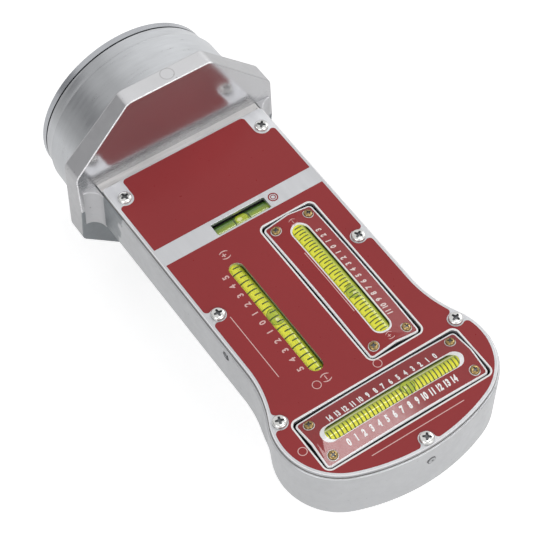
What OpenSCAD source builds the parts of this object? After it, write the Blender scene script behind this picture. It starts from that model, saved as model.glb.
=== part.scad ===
// Camber caster gauge: a magnetic wheel hub gauge with four bubble vials.
// Frame: origin where the hub axis meets the pole face, +Y towards the wheel,
// +X across the gauge, +Z up with the face plate level. Millimetres.
// Distances called "out" are measured from the pole face towards the free end (-Y).

/* [Face plate] */
// Half of the width between the plate's straight sides
plate_half_w = 36.2; // [35.4:0.1:38]
// Pole face to the plate's rear edge
plate_rear_out = 42.1; // [41:0.1:43]
// Pole face to the plate's front end
plate_front_out = 201; // [200:0.1:203]
// Pole face to where the sides start to flare
flare_start_out = 139.6; // [137:0.1:141]
// Radius of the hollow flare on each side
flare_r = 48.4; // [46:0.1:52]
// Radius of the two rounded front corners
front_corner_r = 24.4; // [22:0.1:26]
// Radius of the bowed front end
front_end_r = 79.2; // [75:0.1:84]
// Radius of the two rear corners
rear_corner_r = 1.6; // [1:0.1:3]
// Sheet thickness of the plate
plate_t = 1.5; // [1:0.1:2]
// Height of the plate's upper face above the hub axis
plate_top = 12; // [11.6:0.1:12.4]

/* [Housing] */
// Wall outside the plate's edge
rim_margin = 0.9; // [0.6:0.1:1.4]
// Outer wall thickness
wall_t = 2.4; // [2:0.1:3]
// Inner web thickness
web_t = 2.4; // [1.8:0.1:2.6]
// Height of the cast body below the plate
body_h = 19; // [18.4:0.1:19.6]
// Floor thickness
floor_t = 2.5; // [2:0.1:2.8]
// Radius of the hollow corner between side wall and flange
neck_r = 5.5; // [4:0.1:6]
// Rear wall thickness between flange front and cavity
rear_wall_t = 6; // [5:0.1:7]
// Boss radius round each plate screw
boss_r = 3.8; // [3.4:0.1:4.2]

/* [Flange] */
// Octagon size across its flats
flange_flats = 88; // [84:0.5:92]
// Pole face to the flange's front face at the hub axis
flange_front_out = 38.9; // [38.5:0.1:40]
// Pole face to the flange's rear face
flange_rear_out = 28; // [27:0.1:29]
// Draft of the flange's front face
flange_draft = 4.5; // [3:0.1:5]
// How far each octagon corner is rounded back
flange_corner_cut = 0.7; // [0.3:0.1:1.2]

/* [Hub and magnet] */
// Radius of the pole ring's rim
pole_r = 38; // [36:0.1:39]
// Thickness of the pole ring's rim
pole_rim_t = 2.4; // [2:0.1:3]
// Width of the dark groove between rim and hub
groove_w = 0.6; // [0.4:0.1:0.8]
// Depth of that groove
groove_depth = 1.5; // [1:0.1:1.8]
// Hub radius at its nose, shoulder and root
hub_radii = [38.2, 39.6, 40.3];
// Distance from the pole face to the hub's shoulder
shoulder_out = 9.5; // [8:0.1:11]
// Wall of the steel cup
cup_wall = 5; // [4:0.1:6]
// Depth of the steel cup
cup_depth = 18; // [16:0.1:20]
// Back of the cup
cup_back_t = 4; // [3:0.1:5]
// Thickness of the centre pole
inner_pole_t = 6; // [5:0.1:7]
// Radius of the centre pole
inner_pole_r = 26; // [24:0.1:28]
// How far the filler ring lies below the pole face
filler_recess = 0.5; // [0.2:0.1:1]
// Hole through the magnet
magnet_hole_r = 7; // [6.4:0.1:8]

/* [Centring pin] */
// Radius of the pin
pin_r = 3; // [2.5:0.1:3.3]
// How far the pin stands out of the pole face
pin_reach = 4.6; // [3.8:0.1:5]
// Flat left on the cone's tip
pin_tip_r = 0.6; // [0.4:0.1:0.8]
// Half angle of the cone
pin_cone = 30; // [28:1:35]
// How far the pin can be pushed in
pin_travel = 4; // [3:0.1:4.2]
// Radius and thickness of the stop collar
collar = [5.5, 2];
// Radius of the tail inside the spring
tail_r = 2.2; // [1.8:0.1:2.4]
// Thickness of the plug behind the spring
plug_t = 3; // [2.5:0.1:3.5]

/* [Plate screws] */
// Shank radius, head radius, head height and length under the head
plate_screw = [1.5, 2.8, 1.7, 6];
// Distance out and offset from the middle of each pair, from the hub end
screw_rows = [[50.33, 31.06], [114.07, 31.18], [163.85, 38.46]];
// Distance out of the single front screw
front_screw_out = 197.85; // [197:0.05:198.2]

/* [Vials] */
// Outside radius of the three bent vials
vial_r = 4.2; // [4:0.1:4.3]
// Gap between every vial's crown and the sheet above it
vial_gap = 0.1; // [0.05:0.05:0.2]
// Wall of every vial
vial_wall = 1.1; // [0.8:0.1:1.4]
// Closed end of every vial
vial_end = 1.5; // [1:0.1:2]
// Radius of each bubble
bubble_r = 2.7; // [2.4:0.1:3]
// Radius of the arch that carriers and vials follow
arch_r = 580; // [500:10:700]

/* [Camber bay] */
// Offset of the camber vial from the middle
camber_x = -14.4; // [-15:0.1:-13.8]
// Pole face to the middle of the camber slot
camber_out = 126.1; // [125:0.1:127]
// Length and width of the slot in the face plate
camber_slot = [55.8, 6];
// Length of the camber vial
camber_vial_len = 60; // [58:0.5:62]
// How far the cradle's sides stay below the face plate
cradle_gap = 0.6; // [0.3:0.1:0.8]
// Half width of the cradle under the vial
cradle_half_w = 5.8; // [5.4:0.1:6.2]
// Set screw: radius, distance out, height above the hub axis
set_screw = [1.8, 127.9, 7.5];

/* [Level bay] */
// Pole face to the level vial
level_out = 81.7; // [81:0.1:82.4]
// Middle of the level window from the middle of the plate
level_x = 0.45; // [0:0.05:1]
// Length and width of the level window
level_window = [23.7, 5.5];
// Radius of the level vial
level_r = 4; // [3.6:0.1:4.1]
// Length of the level vial
level_len = 30; // [28:0.5:32]

/* [Carriers] */
// Caster cut-out: offset, distance out to its middle, width across, length
caster_bay = [14.43, 125.9, 23.2, 70.5];
// Kingpin cut-out: distance out to its middle, width along Y, length across
kingpin_bay = [177.87, 22.55, 71.4];
// Corner radius of both cut-outs
bay_corner_r = 2.2; // [1:0.1:3]
// Gap round each carrier plate
carrier_gap = 0.8; // [0.6:0.1:1]
// Corner radius of the carrier plates
sheet_corner_r = 1.6; // [0.8:0.1:2.4]
// Sheet thickness of the carrier plates
sheet_t = 0.8; // [0.6:0.1:1]
// Side edge of the carrier plates above the hub axis
sheet_edge_z = 12.2; // [12:0.1:12.5]
// Rise of the ridge above the side edges
ridge_rise = 2.2; // [1.8:0.1:2.4]
// Slot length and width over the caster vial
caster_slot = [56.4, 6.8];
// Slot length and width over the kingpin vial
kingpin_slot = [57.4, 6.2];
// Length of both tilting vials
tilt_vial_len = 62; // [60:0.5:63]
// Underside of the carriers, from the hub axis
carrier_bottom = -0.8; // [-1:0.1:-0.6]
// Carrier screws: shank radius, head radius, head height, length
carrier_screw = [1, 1.9, 1.1, 5];
// Carrier screws from the carrier's middle, along and across
carrier_screw_at = [30.8, 7.2];

/* [Pivots and adjusters] */
// Pivot pin radius
pivot_r = 1.75; // [1.5:0.05:1.85]
// Pivot height above the hub axis
pivot_z = 2.6; // [2.4:0.1:2.7]
// Adjuster and spring from the pivot
lever = 28; // [26:0.5:29]
// Adjuster thread radius
adjuster_r = 2; // [1.8:0.1:2.2]
// Knurled head radius and height
knob = [5.5, 3];
// Gap between floor and knurled head
knob_gap = 1.6; // [1.5:0.1:1.7]
// Ridges round each knurled head
knob_ridges = 24; // [16:1:30]
// Swivel pad radius, height and crown radius
pad = [2.4, 1.7, 6];
// Return spring: outer and inner radius
spring_r = [3, 2.2];

/* [Clearances] */
// Radial clearance of turning and sliding fits
run_clear = 0.05; // [0.03:0.01:0.08]
// Radial clearance of seated pieces
seat_clear = 0.02; // [0.01:0.01:0.04]
// Clearance between a screw and its hole in a sheet
hole_clear = 0.2; // [0.1:0.05:0.3]

/* [Hidden] */
$fn = 64;

cast_grey = "silver";
plate_red = "indianred";
vial_yellow = "yellow";
brass_tone = "goldenrod";
steel = "lightsteelblue";

// Steps in each drawn arc, and fragments of a full turn for the long arches
arc_steps = 14;
arch_fn = 900;
// Overshoot of cutting shapes
over = 1;

// Heights
seat_z = plate_top - plate_t;
bottom_z = seat_z - body_h;
floor_z = bottom_z + floor_t;
ridge_z = sheet_edge_z + ridge_rise;
camber_z = seat_z - vial_gap - vial_r;
level_z = seat_z - vial_gap - level_r;
tilt_vial_z = ridge_z - sheet_t - vial_gap - vial_r;

// Plan of the plate: flare centre, front end centre and front corner centre
flare_c = [plate_half_w + flare_r, -flare_start_out];
end_c = [0, front_end_r - plate_front_out];
flare_to_corner = flare_r + front_corner_r;
end_to_corner = front_end_r - front_corner_r;
flare_to_end = norm(end_c - flare_c);
along = (flare_to_corner^2 - end_to_corner^2 + flare_to_end^2) / (2 * flare_to_end);
aside = sqrt(flare_to_corner^2 - along^2);
toward_end = (end_c - flare_c) / flare_to_end;
corner_c = flare_c + along * toward_end + aside * [-toward_end[1], toward_end[0]];
flare_angle = atan2(flare_c[1] - corner_c[1], flare_c[0] - corner_c[0]);
end_angle = atan2(corner_c[1] - end_c[1], corner_c[0] - end_c[0]);

// Sizes of the carrier sheets: length along the vial and width across it
caster_sheet = [caster_bay[3] - 2 * carrier_gap, caster_bay[2] - 2 * carrier_gap];
kingpin_sheet = [kingpin_bay[2] - 2 * carrier_gap, kingpin_bay[1] - 2 * carrier_gap];
sheet_overhang = 0.6;

// Plate screws as [x, y]
screw_points = concat(
    [for (row = screw_rows, side = [-1, 1]) [side * row[1], -row[0]]],
    [[0, -front_screw_out]]);

// Webs inside the housing, as distances out
level_webs = [level_out - 6.9, level_out + 6.9];
front_web_out = (caster_bay[1] + caster_bay[3] / 2 + kingpin_bay[0] - kingpin_bay[1] / 2) / 2;
middle_web_x = (camber_x + cradle_half_w + caster_bay[0] - caster_bay[2] / 2) / 2 + 3;

// Pad and adjuster heights
pad_top = carrier_bottom - run_clear;
pad_foot = pad_top - pad[1];
adjuster_boss_z = pad_foot - 1.9;
adjuster_boss_r = 4.2;
adjuster_tip_r = 1;

function arc_points(centre, r, from, to) =
    [for (i = [0:arc_steps]) centre + r * [cos(from + (to - from) * i / arc_steps),
                                           sin(from + (to - from) * i / arc_steps)]];

// Right half of the plan, grown by d, from the rear edge round to the front end
function plan_half(d, rear_out) = concat(
    arc_points([plate_half_w + d - rear_corner_r, -rear_out - rear_corner_r],
               rear_corner_r, 90, 0),
    arc_points(flare_c, flare_r - d, 180, 180 + flare_angle),
    arc_points(corner_c, front_corner_r + d, flare_angle, end_angle),
    arc_points(end_c, front_end_r + d, end_angle, -90));

module plan(d = 0, rear_out = plate_rear_out) {
    right = plan_half(d, rear_out);
    last = len(right) - 1;
    polygon(concat(right, [for (i = [last:-1:0]) [-right[i][0], right[i][1]]]));
}

// Rectangle on its middle
module slab(size, z0, z1) {
    translate([-size[0] / 2, -size[1] / 2, z0]) cube([size[0], size[1], z1 - z0]);
}

// Flat rectangle with round corners
module rounded_plan(size, r) {
    square([size[0], size[1] - 2 * r], center = true);
    square([size[0] - 2 * r, size[1]], center = true);
    for (i = [-1, 1], j = [-1, 1])
        translate([i * (size[0] / 2 - r), j * (size[1] / 2 - r)]) circle(r = r);
}

// Long hole with round ends along X
module long_hole(size) {
    half = (size[0] - size[1]) / 2;
    square([2 * half, size[1]], center = true);
    for (side = [-1, 1]) translate([side * half, 0]) circle(d = size[1]);
}

// Sweeps a section along the arch; the section's x is height and its y is across
module arched(z, length) {
    r = arch_r + z - ridge_z;
    half = asin(length / 2 / r);
    translate([0, 0, z - r]) rotate([90, 0, 0]) rotate([0, 0, 90 - half])
        rotate_extrude(angle = 2 * half, $fn = arch_fn) translate([r, 0]) children();
}

// Rod along X from x0 to x1
module rod_x(r, x0, x1) {
    translate([x0, 0, 0]) rotate([0, 90, 0]) cylinder(r = r, h = x1 - x0);
}

// Disc on the hub axis between two distances out
module disc_y(r, out0, out1) {
    translate([0, -out0, 0]) rotate([90, 0, 0]) cylinder(r = r, h = out1 - out0);
}

module at_caster() {
    translate([caster_bay[0], -caster_bay[1], 0]) rotate([0, 0, 90]) children();
}

module at_kingpin() {
    translate([0, -kingpin_bay[0], 0]) children();
}

// Pan head screw with a cross recess; its head rests at z = 0
module pan_screw(size) {
    recess = size[1] * 0.55;
    slot = size[1] * 0.2;
    difference() {
        union() {
            translate([0, 0, -size[3]]) cylinder(r = size[0], h = size[3] + size[2] / 2);
            rotate_extrude() polygon(concat([[0, 0], [size[1], 0], [size[1], size[2] * 0.45]],
                arc_points([size[1] - size[2] * 0.55, size[2] * 0.45], size[2] * 0.55, 20, 90),
                [[0, size[2]]]));
        }
        for (turn = [0, 90]) rotate([0, 0, turn])
            slab([2 * recess, slot * 2], size[2] * 0.35, size[2] + over);
    }
}

// ---- Cast housing ----

module flange() {
    half_flats = flange_flats / 2;
    corner_r = half_flats / cos(22.5) - flange_corner_cut;
    front_tip_out = flange_front_out - half_flats * tan(flange_draft);
    intersection() {
        rotate([90, 22.5, 0]) cylinder(r = half_flats / cos(22.5), h = 2 * flange_front_out, $fn = 8);
        rotate([90, 0, 0]) cylinder(r = corner_r, h = 2 * flange_front_out, $fn = 128);
        rotate([90, 0, 90]) linear_extrude(4 * half_flats, center = true)
            polygon([[-flange_rear_out, half_flats], [-front_tip_out, half_flats],
                     [-flange_front_out, 0], [-front_tip_out, -half_flats],
                     [-flange_rear_out, -half_flats]]);
    }
}

module hub_shell() {
    nose_out = pole_rim_t + groove_w;
    shoulder_w = hub_radii[1] - hub_radii[0];
    rotate([90, 0, 0]) rotate_extrude($fn = 128)
        polygon(concat([[0, nose_out], [hub_radii[0] - 0.4, nose_out], [hub_radii[0], nose_out + 0.4]],
            arc_points([hub_radii[1] - shoulder_w, shoulder_out], shoulder_w, -60, 0),
            [[hub_radii[2], flange_rear_out + over], [0, flange_rear_out + over]]));
}

module neck_fillets() {
    wall_x = plate_half_w + rim_margin;
    for (side = [-1, 1]) scale([side, 1, 1])
        translate([wall_x, -flange_front_out, bottom_z]) linear_extrude(body_h) difference() {
            translate([-over, -neck_r]) square([neck_r + over, neck_r + over]);
            translate([neck_r, -neck_r]) circle(r = neck_r);
        }
}

module webs() {
    span = 2 * plate_half_w;
    inner_h = seat_z - floor_z;
    for (out = level_webs) translate([0, -out, 0]) slab([span, web_t], floor_z - over, seat_z);
    translate([0, -front_web_out, 0])
        slab([2 * screw_rows[2][1], web_t], floor_z - over, seat_z);
    translate([middle_web_x, -(level_webs[1] + front_web_out) / 2, 0])
        slab([web_t, front_web_out - level_webs[1]], floor_z - over, seat_z);
    translate([level_x, -level_out, 0])
        slab([level_len + 6, level_webs[1] - level_webs[0]], floor_z - over, seat_z);
    for (point = screw_points) translate([point[0], point[1], floor_z - over])
        cylinder(r = boss_r, h = inner_h + over);
}

module pivot_bosses() {
    side_x = plate_half_w + rim_margin - wall_t;
    boss_x = caster_bay[0] + caster_bay[2] / 2 + carrier_gap;
    translate([0, -caster_bay[1], pivot_z]) rod_x(2 * pivot_r, boss_x, side_x + wall_t / 2);
    translate([0, -set_screw[1], set_screw[2] - 1])
        rod_x(2 * set_screw[0], -side_x - wall_t / 2, camber_x - cradle_half_w - 6);
}

module body_shell() {
    cavity_rear_out = flange_front_out + rear_wall_t;
    difference() {
        union() {
            difference() {
                translate([0, 0, bottom_z]) linear_extrude(body_h)
                    plan(rim_margin, flange_rear_out + over);
                translate([0, 0, floor_z]) linear_extrude(body_h)
                    plan(rim_margin - wall_t, cavity_rear_out);
            }
            intersection() {
                webs();
                translate([0, 0, bottom_z]) linear_extrude(body_h) plan(0, plate_rear_out);
            }
            pivot_bosses();
            for (place = [0, 1]) adjuster_place(place)
                translate([0, 0, floor_z - over])
                    cylinder(r = adjuster_boss_r, h = adjuster_boss_z - floor_z + over);
        }
        level_trough();
    }
}

module level_trough() {
    clear_r = level_r + seat_clear;
    length = level_len + 2 * hole_clear;
    translate([level_x, -level_out, level_z]) {
        rod_x(clear_r, -length / 2, length / 2);
        slab([length, 2 * clear_r], 0, plate_top);
    }
}

// Puts children on the axis of the caster (0) or kingpin (1) adjuster
module adjuster_place(which) {
    if (which == 0) at_caster() translate([-lever, 0, 0]) children();
    else at_kingpin() translate([lever, 0, 0]) children();
}

// Puts children on the axis of the caster (0) or kingpin (1) return spring
module spring_place(which) {
    if (which == 0) at_caster() translate([lever, 0, 0]) children();
    else at_kingpin() translate([-lever, 0, 0]) children();
}

module housing() {
    seat_r = pole_r - groove_depth;
    tail_out = cup_depth + pin_travel + plug_t;
    color(cast_grey) difference() {
        union() {
            body_shell();
            neck_fillets();
            flange();
            hub_shell();
        }
        disc_y(seat_r + seat_clear, 0, cup_depth + seat_clear);
        disc_y(magnet_hole_r, cup_depth - over, tail_out);
        for (point = screw_points) translate([point[0], point[1], seat_z - plate_screw[3]])
            cylinder(r = plate_screw[0] + seat_clear, h = plate_screw[3] + over);
        pin_bores(seat_clear);
        for (place = [0, 1]) adjuster_place(place) translate([0, 0, bottom_z - over])
            cylinder(r = adjuster_r + run_clear, h = body_h);
    }
}

// Pins that are fixed in the housing, each grown by a clearance
module pin_bores(clear) {
    caster_pin(clear);
    kingpin_pin(clear);
    camber_screw(clear);
}

module caster_pin(clear) {
    from = middle_web_x - web_t / 4;
    to = plate_half_w + rim_margin - 0.6 + (clear > 0 ? over : 0);
    translate([0, -caster_bay[1], pivot_z]) rod_x(pivot_r + clear, from, to);
}

module kingpin_pin(clear) {
    from = front_web_out - web_t / 4;
    to = plate_front_out + rim_margin - 0.6 + (clear > 0 ? over : 0);
    translate([0, -from, pivot_z]) rotate([90, 0, 0]) cylinder(r = pivot_r + clear, h = to - from);
}

module camber_screw(clear) {
    outer = plate_half_w + rim_margin - 0.6 + (clear > 0 ? over : 0);
    inner = camber_x - cradle_half_w - run_clear;
    translate([0, -set_screw[1], set_screw[2]]) rod_x(set_screw[0] + clear, -outer, inner);
}

// ---- Face plate ----

module face_plate() {
    color(plate_red) difference() {
        translate([0, 0, seat_z]) linear_extrude(plate_t) difference() {
            plan();
            for (point = screw_points) translate(point) circle(r = plate_screw[0] + hole_clear);
            translate([caster_bay[0], -caster_bay[1]])
                rounded_plan([caster_bay[2], caster_bay[3]], bay_corner_r);
            translate([0, -kingpin_bay[0]])
                rounded_plan([kingpin_bay[2], kingpin_bay[1]], bay_corner_r);
            translate([camber_x, -camber_out]) rotate(90) long_hole(camber_slot);
            translate([level_x, -level_out]) square(level_window, center = true);
        }
    }
}

module face_plate_screws() {
    color(steel) for (point = screw_points)
        translate([point[0], point[1], plate_top]) pan_screw(plate_screw);
}

// ---- Magnetic hub ----

module pole_ring() {
    body_r = pole_r - groove_depth;
    color(steel) difference() {
        union() {
            disc_y(pole_r, 0, pole_rim_t);
            disc_y(body_r, 0, cup_depth);
        }
        disc_y(body_r - cup_wall, -over, cup_depth - cup_back_t);
        disc_y(magnet_hole_r, 0, cup_depth + over);
    }
}

module magnet() {
    color("dimgray") difference() {
        disc_y(inner_pole_r, inner_pole_t, cup_depth - cup_back_t);
        disc_y(magnet_hole_r, 0, cup_depth);
    }
}

module inner_pole() {
    color(steel) difference() {
        disc_y(inner_pole_r, 0, inner_pole_t);
        disc_y(pin_r + run_clear, -over, inner_pole_t + over);
    }
}

module pole_filler() {
    color("black") difference() {
        disc_y(pole_r - groove_depth - cup_wall, filler_recess, cup_depth - cup_back_t);
        disc_y(inner_pole_r, -over, cup_depth);
    }
}

module centring_pin() {
    cone_len = (pin_r - pin_tip_r) / tan(pin_cone);
    tail_out = cup_depth + over / 2;
    color(steel) {
        rotate([90, 0, 0]) rotate_extrude() polygon([[0, -pin_reach], [pin_tip_r, -pin_reach],
            [pin_r, cone_len - pin_reach], [pin_r, inner_pole_t + run_clear],
            [collar[0], inner_pole_t + run_clear], [collar[0], inner_pole_t + collar[1]],
            [tail_r, inner_pole_t + collar[1]], [tail_r, tail_out], [0, tail_out]]);
    }
}

module centring_spring() {
    start = inner_pole_t + collar[1] + run_clear;
    stop = cup_depth - plug_t - run_clear;
    color(steel) difference() {
        disc_y(collar[0] - 0.4, start, stop);
        disc_y(tail_r + 0.6, 0, cup_depth);
    }
}

module centring_plug() {
    color(steel) difference() {
        disc_y(magnet_hole_r - seat_clear, cup_depth - plug_t, cup_depth);
        disc_y(tail_r + run_clear, 0, cup_depth + over);
    }
}

// ---- Vials ----

// Bent vial along X, hollow, with closed ends; z is its middle's height
module bent_vial(z, length) {
    difference() {
        arched(z, length) circle(r = vial_r);
        arched(z, length - 2 * vial_end) circle(r = vial_r - vial_wall, $fn = 48);
    }
}

// Liquid inside a bent vial with a bubble at the crown
module bent_fluid(z, length) {
    inner_r = vial_r - vial_wall;
    difference() {
        arched(z, length - 2 * vial_end) circle(r = inner_r, $fn = 48);
        translate([0, 0, z + inner_r - bubble_r * 0.55]) sphere(r = bubble_r);
    }
}

module camber_place() {
    translate([camber_x, -camber_out, 0]) rotate([0, 0, 90]) children();
}

module camber_cradle() {
    length = camber_vial_len + 2;
    color(cast_grey) camber_place() difference() {
        slab([length, 2 * cradle_half_w], floor_z, seat_z - cradle_gap);
        arched(camber_z, camber_vial_len + 2 * hole_clear) union() {
            circle(r = vial_r + seat_clear);
            translate([0, -vial_r - seat_clear]) square([2 * vial_r, 2 * (vial_r + seat_clear)]);
        }
    }
}

module camber_vial() {
    color(vial_yellow) camber_place() bent_vial(camber_z, camber_vial_len);
}

module camber_fluid() {
    color("yellowgreen") camber_place() bent_fluid(camber_z, camber_vial_len);
}

module camber_set_screw() {
    outer = plate_half_w + rim_margin;
    color(steel) difference() {
        camber_screw(0);
        translate([-outer, -set_screw[1], set_screw[2]])
            slab([2 * set_screw[0], 0.7], -2 * set_screw[0], 2 * set_screw[0]);
    }
}

module level_vial() {
    inner_r = level_r - vial_wall;
    color(vial_yellow) translate([level_x, -level_out, level_z]) difference() {
        rod_x(level_r, -level_len / 2, level_len / 2);
        rod_x(inner_r, vial_end - level_len / 2, level_len / 2 - vial_end);
    }
}

module level_fluid() {
    inner_r = level_r - vial_wall;
    color("yellowgreen") translate([level_x, -level_out, level_z]) difference() {
        rod_x(inner_r, vial_end - level_len / 2, level_len / 2 - vial_end);
        translate([0, 0, inner_r - bubble_r * 0.5]) sphere(r = bubble_r);
    }
}

// ---- Tilting carriers: every module below is drawn with the vial along X ----

// Gable section: x is height from the ridge, y is across
module gable(half_w, slope, depth) {
    rise = slope * half_w;
    polygon([[0, 0], [-rise, half_w], [-rise - depth, half_w],
             [-depth, 0], [-rise - depth, -half_w], [-rise, -half_w]]);
}

// Solid under the gable sheet, down to a flat foot
module under_gable(size) {
    slope = ridge_rise / (size[1] / 2);
    half_w = size[1] / 2;
    foot = ridge_z - carrier_bottom + over;
    intersection() {
        arched(ridge_z, size[0]) polygon([[-sheet_t, 0], [-sheet_t - slope * half_w, half_w],
            [-foot, half_w], [-foot, -half_w], [-sheet_t - slope * half_w, -half_w]]);
        translate([0, 0, carrier_bottom]) linear_extrude(2 * ridge_z)
            rounded_plan([for (side = size) side - 2 * sheet_overhang], sheet_corner_r);
    }
}

module carrier_sheet(size, slot) {
    difference() {
        intersection() {
            arched(ridge_z, size[0] + over)
                gable(size[1] / 2 + over, ridge_rise / (size[1] / 2), sheet_t);
            linear_extrude(2 * ridge_z) rounded_plan(size, sheet_corner_r);
        }
        translate([0, 0, carrier_bottom]) linear_extrude(2 * ridge_z) {
            long_hole(slot);
            carrier_screw_points() circle(r = carrier_screw[0] + hole_clear);
        }
    }
}

module carrier_screw_points() {
    for (i = [-1, 1], j = [-1, 1])
        translate([i * carrier_screw_at[0], j * carrier_screw_at[1]]) children();
}

// Height of the sheet's upper face at a carrier screw
function sheet_top(size) = ridge_z - ridge_rise * carrier_screw_at[1] / (size[1] / 2)
    - carrier_screw_at[0]^2 / (2 * arch_r);

// Slope of the sheet across and along at a carrier screw
function sheet_slope(size) = atan(ridge_rise / (size[1] / 2));
function arch_slope() = asin(carrier_screw_at[0] / arch_r);

module carrier_screw_set(size) {
    for (i = [-1, 1], j = [-1, 1])
        translate([i * carrier_screw_at[0], j * carrier_screw_at[1], sheet_top(size)])
            rotate([-j * sheet_slope(size), i * arch_slope(), 0])
                translate([0, 0, seat_clear]) pan_screw(carrier_screw);
}

module carrier_screw_holes(size) {
    for (i = [-1, 1], j = [-1, 1])
        translate([i * carrier_screw_at[0], j * carrier_screw_at[1], sheet_top(size)])
            rotate([-j * sheet_slope(size), i * arch_slope(), 0])
                translate([0, 0, -carrier_screw[3] - seat_clear])
                    cylinder(r = carrier_screw[0] + seat_clear, h = carrier_screw[3] + over);
}

module carrier(size) {
    vial_space = vial_r + seat_clear;
    difference() {
        under_gable(size);
        arched(tilt_vial_z, tilt_vial_len + 2 * hole_clear) union() {
            circle(r = vial_space);
            translate([0, -vial_space]) square([2 * vial_r, 2 * vial_space]);
        }
        translate([0, 0, pivot_z]) rotate([90, 0, 0])
            cylinder(r = pivot_r + run_clear, h = 2 * size[1], center = true);
        carrier_screw_holes(size);
    }
}

// Thumb screw on its own axis; only its height is set
module adjuster() {
    head_top = bottom_z - knob_gap;
    groove_r = knob[0] * PI / knob_ridges * 0.45;
    union() {
        translate([0, 0, head_top - knob[1]]) difference() {
            cylinder(r = knob[0], h = knob[1]);
            for (i = [0:knob_ridges - 1]) rotate([0, 0, 360 / knob_ridges * i])
                translate([knob[0] + groove_r * 0.5, 0, -over])
                    cylinder(r = groove_r, h = knob[1] + 2 * over, $fn = 16);
        }
        translate([0, 0, head_top - over])
            cylinder(r = adjuster_r, h = pad_foot - run_clear - head_top + over);
        translate([0, 0, head_top])
            cylinder(r = adjuster_tip_r, h = pad_top - pad[1] / 2 - head_top);
    }
}

module swivel_pad() {
    crown_drop = pad[2] - sqrt(pad[2]^2 - pad[0]^2);
    edge = asin(pad[0] / pad[2]);
    difference() {
        translate([0, 0, pad_foot]) rotate_extrude() polygon(concat(
            [[0, 0], [pad[0], 0], [pad[0], pad[1] - crown_drop]],
            [for (i = [1:arc_steps]) let (a = edge * (1 - i / arc_steps))
                [pad[2] * sin(a), pad[1] - pad[2] * (1 - cos(a))]]));
        translate([0, 0, pad_foot - over])
            cylinder(r = adjuster_tip_r + run_clear, h = pad[1] / 2 + over + run_clear);
    }
}

module return_spring() {
    height = carrier_bottom - floor_z - 2 * run_clear;
    translate([0, 0, floor_z + run_clear]) difference() {
        cylinder(r = spring_r[0], h = height);
        translate([0, 0, -over]) cylinder(r = spring_r[1], h = height + 2 * over);
    }
}

// ---- Caster set ----

module caster_carrier() { color(cast_grey) at_caster() carrier(caster_sheet); }
module caster_plate() { color(plate_red) at_caster() carrier_sheet(caster_sheet, caster_slot); }
module caster_plate_screws() { color(brass_tone) at_caster() carrier_screw_set(caster_sheet); }
module caster_vial() { color(vial_yellow) at_caster() bent_vial(tilt_vial_z, tilt_vial_len); }
module caster_fluid() { color("yellowgreen") at_caster() bent_fluid(tilt_vial_z, tilt_vial_len); }
module caster_pivot_pin() { color(steel) caster_pin(0); }
module caster_adjuster() { color(steel) adjuster_place(0) adjuster(); }
module caster_pad() { color(brass_tone) adjuster_place(0) swivel_pad(); }
module caster_spring() { color(steel) spring_place(0) return_spring(); }

// ---- Kingpin set ----

module kingpin_carrier() { color(cast_grey) at_kingpin() carrier(kingpin_sheet); }
module kingpin_plate() { color(plate_red) at_kingpin() carrier_sheet(kingpin_sheet, kingpin_slot); }
module kingpin_plate_screws() { color(brass_tone) at_kingpin() carrier_screw_set(kingpin_sheet); }
module kingpin_vial() { color(vial_yellow) at_kingpin() bent_vial(tilt_vial_z, tilt_vial_len); }
module kingpin_fluid() { color("yellowgreen") at_kingpin() bent_fluid(tilt_vial_z, tilt_vial_len); }
module kingpin_pivot_pin() { color(steel) kingpin_pin(0); }
module kingpin_adjuster() { color(steel) adjuster_place(1) adjuster(); }
module kingpin_pad() { color(brass_tone) adjuster_place(1) swivel_pad(); }
module kingpin_spring() { color(steel) spring_place(1) return_spring(); }

housing();
face_plate();
face_plate_screws();
pole_ring();
magnet();
inner_pole();
pole_filler();
centring_pin();
centring_spring();
centring_plug();
camber_cradle();
camber_vial();
camber_fluid();
camber_set_screw();
level_vial();
level_fluid();
caster_carrier();
caster_plate();
caster_plate_screws();
caster_vial();
caster_fluid();
caster_pivot_pin();
caster_adjuster();
caster_pad();
caster_spring();
kingpin_carrier();
kingpin_plate();
kingpin_plate_screws();
kingpin_vial();
kingpin_fluid();
kingpin_pivot_pin();
kingpin_adjuster();
kingpin_pad();
kingpin_spring();
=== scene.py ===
import math
from contextlib import contextmanager

import bmesh
import bpy
from mathutils import Matrix, Vector


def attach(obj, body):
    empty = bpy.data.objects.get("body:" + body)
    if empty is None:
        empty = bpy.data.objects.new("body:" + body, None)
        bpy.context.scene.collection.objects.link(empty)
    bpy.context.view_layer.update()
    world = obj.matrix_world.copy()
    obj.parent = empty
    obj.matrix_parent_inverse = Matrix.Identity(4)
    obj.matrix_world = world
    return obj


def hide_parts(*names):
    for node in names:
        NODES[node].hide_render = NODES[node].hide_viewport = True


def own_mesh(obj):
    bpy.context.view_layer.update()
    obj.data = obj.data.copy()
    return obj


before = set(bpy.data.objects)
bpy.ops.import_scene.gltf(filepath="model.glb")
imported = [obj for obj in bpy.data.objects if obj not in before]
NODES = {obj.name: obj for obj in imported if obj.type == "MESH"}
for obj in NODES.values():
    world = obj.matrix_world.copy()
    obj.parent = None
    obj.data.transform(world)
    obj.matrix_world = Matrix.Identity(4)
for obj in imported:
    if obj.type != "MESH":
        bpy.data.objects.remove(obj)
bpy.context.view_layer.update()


MM = 0.001
SCENE = bpy.context.scene


def add(name, data):
    """A new object in the scene."""
    obj = bpy.data.objects.new(name, data)
    SCENE.collection.objects.link(obj)
    return obj


# ---- camera

CAMERA_AT = Vector((-246.887, -461.334, 616.167)) * MM
FORWARD = Vector((0.327265, 0.476806, -0.815815))
RIGHT = Vector((0.825795, -0.563968, 0.001655))
FOCAL_PX, PHOTO_PX, SENSOR = 2019.957, 540.0, 36.0

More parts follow.
